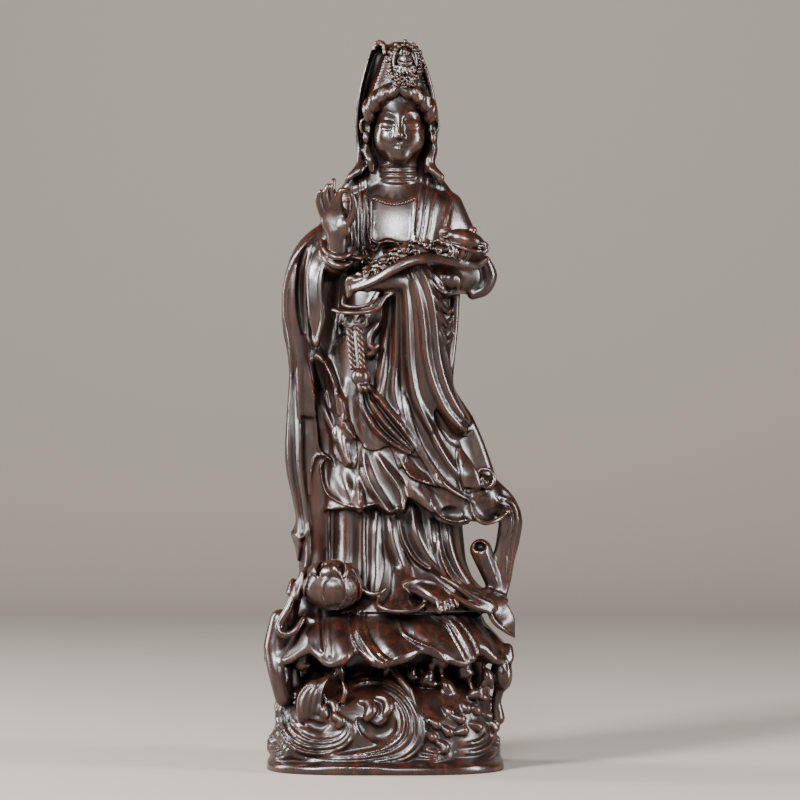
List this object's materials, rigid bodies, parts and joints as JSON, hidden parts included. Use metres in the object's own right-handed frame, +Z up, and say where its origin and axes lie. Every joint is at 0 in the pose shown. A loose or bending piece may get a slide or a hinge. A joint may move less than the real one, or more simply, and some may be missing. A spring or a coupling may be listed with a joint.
{
  "type": "guanyin figure",
  "caption": "Carved ebony standing figure in a long robe and veil, on a lotus leaf over a wave plinth, one solid block that stands on its flat underside.",
  "frame": {"origin": "middle of the flat underside of the plinth, the centre of the bounding box at the ground", "axes": "+Z up along the figure's height, the figure faces -Y, and +X is to the viewer's right (the figure's left hand)"},
  "size_m": [0.1428, 0.1096, 0.4003],
  "materials": {
    "ebony": "polished, satin gloss"
  },
  "bodies": {
    "root": {"carved_figure": "ebony"}
  },
  "joints": []
}
